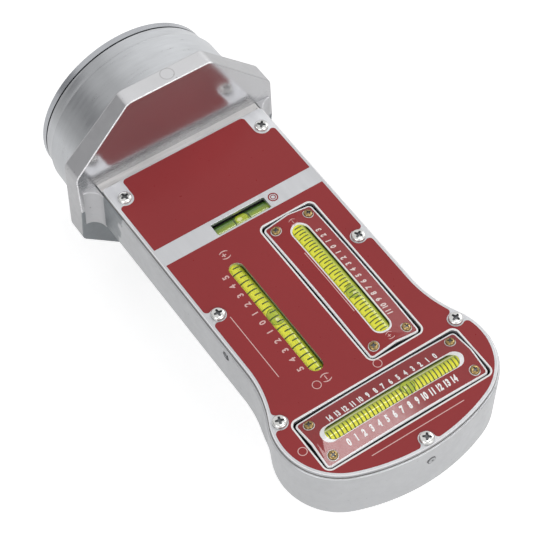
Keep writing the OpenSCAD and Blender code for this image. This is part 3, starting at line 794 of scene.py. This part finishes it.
# hollow fillets between the side walls and the flange
corner_x, corner_y = WALL_X, -FLANGE_FRONT
profile = [(corner_x - 1.2, corner_y + 1.5), (corner_x + NECK_R, corner_y + 1.5)]
profile += arc(corner_x + NECK_R, corner_y - NECK_R, NECK_R, 90, 180, 12)
profile += [(corner_x - 1.2, corner_y - NECK_R)]
fillets = [flat("fillet", [[(side * x, y) for x, y in profile]], (BOTTOM_Z + 0.3, SEAT_Z), 0.4,
                CAST_NECK) for side in (-1, 1)]
own(even(join("neck_fillets", fillets)), *CASTING)


# ---- flange

def make_flange():
    """Octagon block: its front leans back above and below the hub axis."""
    bm = bmesh.new()

    def point(x, y, z):
        return bm.verts.new((x * MM, y * MM, z * MM))

    def bevel(edges, offset, segments):
        bmesh.ops.bevel(bm, geom=edges, offset=offset * MM, segments=segments, profile=0.5,
                        affect="EDGES")

    def border(test):
        """Edges where one face's normal passes a test and the other's doesn't."""
        return [e for e in bm.edges if len(e.link_faces) == 2
                and test(e.link_faces[0].normal) != test(e.link_faces[1].normal)]

    corners = arc(0, 0, FLANGE_HALF / math.cos(math.radians(22.5)), 22.5, 337.5, 7)
    rear = [point(x, -FLANGE_REAR, z) for x, z in corners]
    front = [point(x, -(FLANGE_FRONT - abs(z) * FLANGE_SLOPE), z) for x, z in corners]
    mid_right, mid_left = [point(x, -FLANGE_FRONT, 0) for x in (FLANGE_HALF, -FLANGE_HALF)]
    mids = {3: [mid_left], 7: [mid_right]}
    bm.faces.new(rear)
    for i in range(8):
        j = (i + 1) % 8
        bm.faces.new([rear[i], rear[j], front[j], *mids.get(i, []), front[i]])
    bm.faces.new([mid_right, *front[:4], mid_left])
    bm.faces.new([mid_left, *front[4:], mid_right])
    bmesh.ops.recalc_face_normals(bm, faces=bm.faces)
    bevel([e for e in bm.edges
           if abs((e.verts[0].co - e.verts[1].co).normalized().y) > 0.9], 1.7, 4)
    bevel(border(lambda normal: normal.y < -0.9), 0.4, 2)
    bevel(border(lambda normal: normal.y > 0.9), 0.8, 3)

    obj = add("flange_block", bpy.data.meshes.new("flange_block"))
    bm.to_mesh(obj.data)
    bm.free()
    dress(obj, CAST_SKIN, MILLED, FLANGE_EDGE_HIGHLIGHT, CAST_RAW_SHADED)
    skin, milled, highlight, raw_shaded = range(4)
    for polygon in obj.data.polygons:
        normal, middle = polygon.normal, polygon.center / MM
        # the front face and bevels below the hub axis take the darker cast: rough finish and
        # painted shade
        if normal.y < -0.97:
            polygon.material_index = milled if normal.z > 0 else raw_shaded
        elif normal.y < -0.2:
            # bevels high up on the left, where the edge catches the light, get a painted highlight
            lit = middle.z > 6 and middle.x < 22
            polygon.material_index = highlight if lit else skin if middle.z > 0 else raw_shaded
    return even(shade(obj, 60))


own(make_flange(), *CASTING)

# ---- hub and pole ring

# the drum's front edge lies behind the pole ring's rim, with a groove between them
NOSE_Y, LIP_R, DRUM_REAR = -3.0, 38.2, -FLANGE_REAR - 0.5
hub_profile = [(36.62, -16.0), (36.62, NOSE_Y), (37.75, NOSE_Y), (38.05, NOSE_Y - 0.12),
               (LIP_R, NOSE_Y - 0.45)]
hub_profile += [(LIP_R + 1.4 * (1 - c), NOSE_Y - 0.45 - 5.6 * s) for s, c in quarter_arc(6)[1:]]
hub_profile += [(39.66, -14.0), (40.3, DRUM_REAR), (30.0, DRUM_REAR), (30.0, -18.4),
                (36.0, -18.4), (36.0, -16.0)]
own(lathe_y("hub_drum", hub_profile, CAST_HUB), *CASTING)
own(cylinder("hub_core", 35.9, (0, -18.05, 0), (0, -FLANGE_REAR - 0.3, 0), CAST_SHADED_INSIDE, 96),
    *CASTING)

# ---- face plate

plate_loops = [plan(fine=2), bay_loop(CASTER_BAY), bay_loop(KINGPIN_BAY),
               long_hole(CAMBER_AT, CAMBER_SLOT, True),
               rounded(*LEVEL_AT, *LEVEL_SLOT, LEVEL_CORNER, 3)]
plate_loops += [circle(x, y, PLATE_HOLE_R, 32) for x, y in SCREWS]
own(even(flat("face_sheet", plate_loops, (SEAT_Z, PLATE_TOP), 0.18, SHEET)),
    *PRINT, "face_plate")
own(flat("plate_seam", [plan(0.14), plan(-0.5)], (SEAT_Z - 0.02, SEAT_Z + 0.12), 0, SEAM),
    *CASTING)
# a thin pale ring round the plate's top edge: painted highlight
own(flat("plate_edge_highlight", [plan(-0.02), plan(-0.34)], (PLATE_TOP - 0.05, PLATE_TOP + 0.02), 0,
         PLATE_EDGE_HIGHLIGHT), *CASTING)
ledge = rectangle(WALL_X - 1.0, -PLATE_REAR + 0.12, -FLANGE_FRONT + 1.2)
own(flat("rear_ledge", [ledge], (SEAT_Z - 0.3, SEAT_Z + 0.15), 0.12, CAST_LEDGE),
    *CASTING)


def area(loop):
    """Signed area, above zero where the loop runs anticlockwise."""
    return sum(x0 * y1 - x1 * y0 for (x0, y0), (x1, y1) in zip(loop, loop[1:] + loop[:1])) / 2


def notched(loop, centre, big, small):
    """Cuts a round bare patch of radius big with a filleted mouth into a closed outline."""
    n = len(loop)
    side = small if area(loop) > 0 else -small
    inset = []
    for i, (x, y) in enumerate(loop):
        (x0, y0), (x1, y1) = loop[i - 1], loop[(i + 1) % n]
        d = math.hypot(x1 - x0, y1 - y0)
        inset.append((x - (y1 - y0) / d * side, y + (x1 - x0) / d * side))
    near = [math.dist(p, centre) - (big + small) for p in inset]
    first = next(i for i in range(n) if near[i] >= 0 > near[(i + 1) % n])
    last = next(i for i in range(n) if near[i] < 0 <= near[(i + 1) % n])

    def mouth(a):
        """After point a: where the fillet touches the outline, and the fillet's centre."""
        b = (a + 1) % n
        t = near[a] / (near[a] - near[b])
        return [[p + (q - p) * t for p, q in zip(row[a], row[b])] for row in (loop, inset)]

    def sweep(c, p, q, r, through=None):
        """Arc about c from p's side to q's, the short way or past a third point's side."""
        a, b = (math.atan2(e[1] - c[1], e[0] - c[0]) for e in (p, q))
        d = (b - a + math.pi) % math.tau - math.pi
        if through:
            m = math.atan2(through[1] - c[1], through[0] - c[0])
            d = (b - a) % math.tau
            if (m - a) % math.tau >= d:
                d -= math.tau
        steps = max(6, int(abs(d) * 9))
        return arc(*c, r, math.degrees(a), math.degrees(a + d), steps)

    (touch1, fillet1), (touch2, fillet2) = mouth(first), mouth(last)
    away = [2 * c - (p + q) / 2 for c, p, q in zip(centre, touch1, touch2)]
    path = (sweep(fillet1, touch1, centre, small) + sweep(centre, fillet1, fillet2, big, away)
            + sweep(fillet2, centre, touch2, small))
    if last >= first:
        return loop[:first + 1] + path + loop[last + 1:]
    return loop[last + 1:first + 1] + path


outline = plan(-PRINT_IN, -BAND_LOW, 0.001, 8)
for screw in SCREWS[2:]:
    outline = notched(outline, screw, 3.15, 1.6)
lower_red = flat("print_lower", [
    outline, bay_loop(CASTER_BAY, BORDER_W), bay_loop(KINGPIN_BAY, BORDER_W),
    long_hole(CAMBER_AT, CAMBER_SLOT, True)], Z_RED, 0, RED)

# the upper field leaves its rear corners bare round the first pair of screws
BARE_X, BARE_R, FIELD_R, MOUTH_R, MOUTH_Y, MOUTH_A = 27.61, 3.45, 1.7, 1.4, -54.46, 121.6
field_x = PLATE_HALF_W - PRINT_IN
upper_half = arc(BARE_X - FIELD_R, PRINT_TOP - FIELD_R, FIELD_R, 90, 0, 10)
upper_half += arc(BARE_X + BARE_R, SCREWS[1][1], BARE_R, 180, 180 + MOUTH_A, 30)
upper_half += arc(field_x - MOUTH_R, MOUTH_Y, MOUTH_R, MOUTH_A, 0, 12) + [(field_x, BAND_TOP)]
upper_red = flat("print_upper", [upper_half + [(-x, y) for x, y in reversed(upper_half)]],
                 Z_RED, 0, RED)
own(join("plate_print", [lower_red, upper_red]), *PRINT)

own(join("cutout_borders", [
    flat("border", [bay_loop(bay, BORDER_W), bay_loop(bay, 0.15)], Z_WHITE, 0, WHITE)
    for bay in (CASTER_BAY, KINGPIN_BAY)]), *PRINT)


def bar(x0, y0, x1, y1, w, z=Z_MARK):
    """A plain rule of width w."""
    d = math.dist((x0, y0), (x1, y1))
    nx, ny = (y0 - y1) / d * w / 2, (x1 - x0) / d * w / 2
    corners = [(x0 + nx, y0 + ny), (x1 + nx, y1 + ny), (x1 - nx, y1 - ny), (x0 - nx, y0 - ny)]
    return flat("rule", [corners], z, 0, PINK)


def ring_mark(x, y, r, w, material=PINK, z=Z_MARK):
    return flat("ring", [circle(x, y, r), circle(x, y, r - w)], z, 0, material)


# digits beside the camber slot, signs at its ends, plain rules and empty rings
ZERO_X, ZERO_Y, DIGIT_STEP = -19.9, -125.95, 4.78
marks = [text(str(abs(k)), 3.4, ZERO_X, ZERO_Y - DIGIT_STEP * k, 90, PINK, 0.95, 0.11, Z_DIGIT)
         for k in range(-5, 6)]
marks += [text(sign, 3.7, CAMBER_AT[0], y, 90, PINK, 0.95, 0.05, Z_DIGIT)
          for sign, y in (("(+)", -93.3), ("(–)", -157.8))]
marks += [bar(-28.1, -117.3, -28.1, -148.3, 0.32), bar(-19.8, -192.75, 20.2, -192.75, 0.32)]
marks += [ring_mark(x, y, 1.75, 0.28) for x, y in ((-18.9, -158.5), (4.1, -163.3), (-38.5, -177.9))]
marks += [ring_mark(15.4, -81.06, r, w, RED, Z_WHITE) for r, w in ((2.0, 0.5), (1.1, 0.32))]
own(join("plate_scale", marks), *PRINT)

# ---- screws

# pan head as shares of its radius and height
HEAD_PROFILE = ((0.92, 0.0), (1.0, 0.10), (1.0, 0.42), (0.97, 0.60), (0.89, 0.78),
                (0.74, 0.92), (0.50, 0.985), (0.2, 1.0))


def screw_head(r, h, material, where, turn, lean=(0.0, 0.0)):
    """A pan head with a cross recess; lean turns it about u and v in degrees."""
    head = loft("head", [[(x, y, z * h) for x, y in circle(0, 0, share * r, 40)]
                         for share, z in HEAD_PROFILE], material)
    arm, tip, root, floor_z = 0.60 * r, 0.13 * r, 0.20 * r, 0.45 * h
    corners = ((root, -root), (arm, -tip), (arm, tip))
    cross = [(x * c - y * s, x * s + y * c) for s, c in ((0, 1), (1, 0), (0, -1), (-1, 0))
             for x, y in corners]
    cut(head, [flat("cross", [cross], (floor_z, 2 * h))])
    # the recess's walls and floor take painted shade
    head.data.materials.append(RECESS_SHADE)
    for polygon in head.data.polygons:
        middle = polygon.center / MM
        inside = math.hypot(middle.x, middle.y) < arm and middle.z < 0.97 * h
        if inside and (polygon.normal.z < 0.4 or middle.z < floor_z + 0.01):
            polygon.material_index = 1
    head.data.transform(shift(*where) @ spin(lean[1], "Y") @ spin(lean[0], "X")
                        @ spin(turn, "Z"))
    return head


heads = [screw_head(PLATE_HEAD_R, PLATE_HEAD_H, ZINC, (*at, PLATE_TOP + 0.005), 12 + 37 * k)
         for k, at in enumerate(SCREWS)]
own(join("plate_screw_heads", heads), "housing", "zinc_screw", "face_plate_screws")

# the kingpin pivot's end in the front wall, with a punched dot; the hole round the end and the dot
# are painted shade
END_Y = -PLATE_FRONT - RIM + 0.12
pin_end = [cylinder("hole", 1.8, (0, END_Y + 1.5, PIVOT_Z), (0, END_Y, PIVOT_Z), RECESS_SHADE),
           cylinder("end", 1.45, (0.1, END_Y + 1.5, 2.5), (0.1, END_Y - 0.05, 2.5), STEEL),
           cylinder("dot", 0.5, (0.4, END_Y + 1.0, 2.2), (0.4, END_Y - 0.08, 2.2), RECESS_SHADE, 12)]
own(join("front_pin_end", pin_end), "housing", "pin_steel")


# ---- carriers

def build_carrier(key, at, size, slot, white, quarter, digits, print_colour):
    """A carrier's sheet, red print, scale and screws; white is left bare round the slot."""
    body = key + "_carrier"
    length, width = size
    loops = [rounded(0, 0, length, width, SHEET_CORNER), long_hole((0, 0), slot)]
    loops += [circle(u, v, HOLE_R, 24) for u, v in CARRIER_SCREWS]
    sheet = flat(key + "_sheet", loops, (-SHEET_T, 0.0), 0.22, WHITE_EDGE, 3)
    own(even(to_roof(sheet, size, at, quarter)), body, "red_print", key + "_plate")

    bare = 2 * 0.68
    loops = [rounded(0, 0, length - bare, width - bare, 1.0),
             long_hole((0, 0), [a + 2 * b for a, b in zip(slot, white)])]
    loops += [circle(u, v, BARE_HEAD_R, 32) for u, v in CARRIER_SCREWS]
    red = flat(key + "_red", loops, (0.005, 0.04), 0, print_colour)
    own(to_roof(red, size, at, quarter), body, "red_print")
    own(to_roof(join(key + "_scale", digits), size, at, quarter, 0.045), body, "red_print")

    lean = math.degrees(math.atan(RIDGE_RISE / (width / 2)))
    slope = math.degrees(math.asin(CARRIER_SCREWS[-1][0] / ARCH_R))
    heads = [screw_head(HEAD_R, HEAD_H, BRASS, (u, v, roof_z(u, v, width / 2) + 0.02),
                        17 + 41 * k, (-math.copysign(lean, v), math.copysign(slope, u)))
             for k, (u, v) in enumerate(CARRIER_SCREWS)]
    own(place(join(key + "_screw_heads", heads), at, quarter), body, "brass_screw",
        key + "_plate_screws")


caster_digits = [text(str(abs(i - 3)), 3.2, 22.2 - 3.17 * i, -5.9, 0, PALE, 0.74, 0.14)
                 for i in range(15)]
caster_digits += [text(sign, 2.9, u, 0.1, 0, PINK) for sign, u in (("(–)", 30.1), ("(+)", -30.9))]
caster_digits += [bar(16.1, 4.6, -15.2, 4.6, 0.28, (0.0, 0.04))]
build_carrier("caster", CASTER_BAY[:2], (CASTER_BAY[3] - 2 * GAP, CASTER_BAY[2] - 2 * GAP),
              (56.4, 6.8), (0.85, 0.55), True, caster_digits, RED)

kingpin_digits = []
for i in range(15):
    kingpin_digits.append(text(str(14 - i), 3.3, -23.3 + 3.262 * i, 5.3, 0, WHITE, 0.64, 0.17))
    kingpin_digits.append(text(str(i), 3.6, -23.3 + 3.27 * i, -6.2, 0, WHITE, 0.66, 0.2))
build_carrier("kingpin", KINGPIN_BAY[:2], (KINGPIN_BAY[2] - 2 * GAP, KINGPIN_BAY[3] - 2 * GAP),
              (57.4, 6.2), (1.9, 0.34), False, kingpin_digits, RED_GLOSS)


# ---- vials

class Vial:
    """A vial along u, bent with the carriers' arch or straight."""

    def __init__(self, key, body, at, quarter, r, z, arch=True):
        self.key, self.body, self.at, self.quarter = key, body, at, quarter
        self.r, self.z = r, z
        self.bend = ARCH_R + z - RIDGE_Z if arch else None

    def point(self, u, angle, r):
        """A point at radius r; angles in radians from the crown, positive towards +v."""
        drop = sag(u, self.bend) if self.bend else 0.0
        return (u, r * math.sin(angle), self.z - drop + r * math.cos(angle))

    def own(self, obj, *nodes):
        own(place(obj, self.at, self.quarter), self.body, "vial_liquid", *nodes)

    def tube(self, length, material):
        """The tube with domed ends, in the place of its glass and its liquid."""
        half, dome, steps, around, dome_steps = length / 2, self.r * 0.5, 64, 40, 6
        start = []
        for k in range(dome_steps):
            a, b = math.radians(90 * k / dome_steps), math.radians(12 + 78 * k / dome_steps)
            start.append((-half + dome * (1 - math.cos(a)), self.r * math.sin(b)))
        straight = [(-half + dome + (length - self.r) * i / steps, self.r)
                    for i in range(steps + 1)]
        end = [(-u, r) for u, r in reversed(start)]
        rings = [[self.point(u, math.tau * j / around, r) for j in range(around)]
                 for u, r in start + straight + end]
        self.own(loft(self.key + "_tube", rings, material), self.key + "_vial",
                 self.key + "_fluid")

    def line(self, u, width, a0, a1):
        """A printed line part of the way round, between two angles in degrees."""
        half, low, high, steps = width / 2, self.r - 0.05, self.r + 0.03, 12
        corners = ((-half, low), (-half, high), (half, high), (half, low))
        return loft("tick", [[self.point(u + du, math.radians(a0 + (a1 - a0) * i / steps), r)
                              for du, r in corners] for i in range(steps + 1)], TICK)

    def ticks(self, count, pitch, width, even_span, odd_span):
        """Lines to both sides of the middle, with one span of angles for every second one."""
        lines = [self.line(i * pitch, width, *(even_span, odd_span)[i % 2])
                 for i in range(-count, count + 1)]
        self.own(join(self.key + "_ticks", lines))

    def patch(self, u, length, spread, material, lift, shrink=0.0):
        """An oval patch on the crown."""
        rows, cols = 6, 28
        verts = [self.point(u, 0.0, self.r + lift)]
        for i in range(1, rows + 1):
            for t in (math.tau * j / cols for j in range(cols)):
                along = (length / 2 - shrink) * i / rows * math.cos(t)
                angle = math.radians(spread - shrink * 8) * i / rows * math.sin(t)
                verts.append(self.point(u + along, angle, self.r + lift))
        faces = [(0, 1 + j, 1 + (j + 1) % cols) for j in range(cols)]
        for i in range(rows - 1):
            for j in range(cols):
                a, b = 1 + i * cols + j, 1 + i * cols + (j + 1) % cols
                faces.append((a, a + cols, b + cols, b))
        return mesh_object("bubble", verts, faces, material)

    def bubble(self, body, glint):
        """Body and glint are (place along the vial, length, half spread in degrees)."""
        self.own(join(self.key + "_bubble", [self.patch(*body, BUBBLE_EDGE, 0.010),
                                             self.patch(*body, BUBBLE, 0.018, 0.3),
                                             self.patch(*glint, BUBBLE_GLINT, 0.026)]))


vial = Vial("camber", "housing", CAMBER_AT, True, VIAL_R, CAMBER_Z)
vial.tube(60.0, DYE_SHADED_ALONG)
vial.ticks(11, 2.39, 0.55, (36, -22), (12, -26))
vial.bubble((0, 7.6, 42), (-1.4, 1.6, 10))

vial = Vial("level", "housing", LEVEL_AT, False, LEVEL_R, LEVEL_Z, arch=False)
vial.tube(30.0, DYE_SHADED_LEVEL)
vial.own(join("level_lines", [vial.line(u, 0.5, -75, 75) for u in (-2.85, 3.45)]))
vial.bubble((0.3, 5.6, 40), (-0.6, 2.2, 12))

vial = Vial("caster", "caster_carrier", CASTER_BAY[:2], True, VIAL_R, TILT_Z)
vial.tube(62.0, DYE_SHADED_ALONG)
vial.ticks(17, 1.585, 0.44, (40, -18), (22, -20))
vial.bubble((-8.0, 5.8, 38), (-9.0, 1.2, 9))

vial = Vial("kingpin", "kingpin_carrier", KINGPIN_BAY[:2], False, VIAL_R, TILT_Z)
vial.tube(62.0, DYE_SHADED_ACROSS)
vial.ticks(17, 1.635, 0.44, (-48, 14), (-48, 14))
vial.bubble((6.4, 5.8, 38), (5.4, 1.2, 9))


# ---- springs

def coil(name, start, direction, length, r, wire=0.36, turns=3):
    """A round-wire compression spring from start along a unit direction."""
    start, direction = Vector(start), Vector(direction)
    side = direction.orthogonal().normalized()
    other = direction.cross(side)
    per_turn, around = 28, 8
    spokes = [math.tau * k / around for k in range(around)]
    rings = []
    for i in range(per_turn * turns + 1):
        a = math.tau * i / per_turn
        outward = side * math.cos(a) + other * math.sin(a)
        rise = wire + (length - 2 * wire) * i / (per_turn * turns)
        middle = start + direction * rise + outward * r
        rings.append([tuple(middle + wire * (outward * math.cos(b) + direction * math.sin(b)))
                      for b in spokes])
    return loft(name, rings, SPRING)


RETURN = ((0, 0, 1), 5.1, 2.6, 1.3)
for node, joint, start, (direction, length, r, travel) in (
        ("centring_spring", "centring_pin_push", (0, -14.95, 0), ((0, 1, 0), 6.9, 4.2, 4.0)),
        ("caster_spring", "caster_tilt", (*CASTER_SPRING, FLOOR_Z + 0.05), RETURN),
        ("kingpin_spring", "kingpin_tilt", (*KINGPIN_SPRING, FLOOR_Z + 0.05), RETURN)):
    spring = coil(node + "_coil", start, direction, length - 0.1, r)
    own(spring, "housing", "spring_steel", node)
    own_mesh(spring)

# ---- carried-over nodes

for material, names in (
        (POLE, "pole_ring inner_pole"), (MAGNET, "magnet"), (FILLER, "pole_filler"),
        (STEEL, "centring_pin centring_plug camber_set_screw caster_pivot_pin kingpin_pivot_pin"),
        (CAST_SHADED_INSIDE, "camber_cradle caster_carrier kingpin_carrier"),
        (ZINC, "caster_adjuster kingpin_adjuster"), (PAD, "caster_pad kingpin_pad")):
    for node in names.split():
        dress(NODES[node], material)


# ---- stage, in metres

def stage_sheet(name, half_x, half_y, z, material):
    corners = [(x, y, z) for x, y in rectangle(half_x, -half_y, half_y)]
    mesh = bpy.data.meshes.new(name)
    mesh.from_pydata(corners, [], [(0, 1, 2, 3)])
    return dress(add(name, mesh), material)


# the floor shows as white to the camera and a little less so in reflections
FLOOR_Z_M, FLOOR_GLOW, FLOOR_MIRRORED = -0.0442, 0.55, 0.7
s = Shader("floor", (0.86, 0.86, 0.86, 1.0), 0.9, Specular_IOR_Level=0.0,
           Emission_Color=(1, 1, 1, 1))
rays = s.node("LightPath").outputs
mirrored = s.math("MAXIMUM", rays["Is Glossy Ray"], rays["Is Transmission Ray"])
seen = s.math("MAXIMUM", rays["Is Camera Ray"], s.times(mirrored, FLOOR_MIRRORED))
s.feed(s.sockets["Emission Strength"], s.map(seen, 0, 1, 0.0, FLOOR_GLOW))
floor = stage_sheet("floor", 3.0, 3.0, FLOOR_Z_M, s.material)

# the world is full white to what sees it and softer as a light
world = bpy.data.worlds.new("studio")
SCENE.world = world
world.use_nodes = True
world.node_tree.nodes.clear()
s = Nodes(world.node_tree)
soft, white = [s.node("Background", {"Color": (1.0, 1.0, 1.0, 1.0), "Strength": strength})
               for strength in (0.42, 1.0)]
rays = s.node("LightPath").outputs
seen = s.math("MAXIMUM", rays["Is Camera Ray"], rays["Is Glossy Ray"])
seen = s.math("MAXIMUM", seen, rays["Is Transmission Ray"])
mix = s.node("MixShader", {0: seen, 1: soft.outputs[0], 2: white.outputs[0]})
s.node("OutputWorld", {"Surface": mix.outputs[0]})


def lamp(name, where, aim, size, watts):
    data = bpy.data.lights.new(name, "AREA")
    data.shape = "RECTANGLE"
    data.size, data.size_y = size
    data.energy = watts
    obj = add(name, data)
    obj.location = where
    obj.rotation_euler = (Vector(aim) - Vector(where)).to_track_quat("-Z", "Y").to_euler()
    return obj


lamp("key", (-0.95, -0.55, 0.8), (0, -0.1, 0), (0.7, 0.7), 4.6)
lamp("side", (1.0, 0.15, 0.75), (0, -0.1, 0), (0.6, 0.6), 3.5)
lamp("front", (0.25, -1.1, 0.6), (0, -0.12, 0), (0.8, 0.5), 3.0)

# a lamp that is seen only as gloss, on the kingpin sheet
strip = lamp("strip", (0.223, -0.168, 0.95), (0.223, -0.168, 0), (0.286, 0.16), 1.05)
strip.visible_diffuse = False

# a grey card that only reflections see, for the soft dark tone on flanks that face up and left
s = Shader("grey card", (0.02, 0.02, 0.02, 1.0), 1.0, Specular_IOR_Level=0.0,
           Emission_Color=(0.4, 0.4, 0.41, 1), Emission_Strength=1.0)
card = stage_sheet("grey_card", 0.9, 0.34, 0.0, s.material)
card.location = Vector((-0.85, 0.42, 0.36)) * 1.4
card.rotation_euler = (-card.location).to_track_quat("Z", "Y").to_euler()
card.visible_camera = card.visible_diffuse = False
card.visible_shadow = card.visible_transmission = False
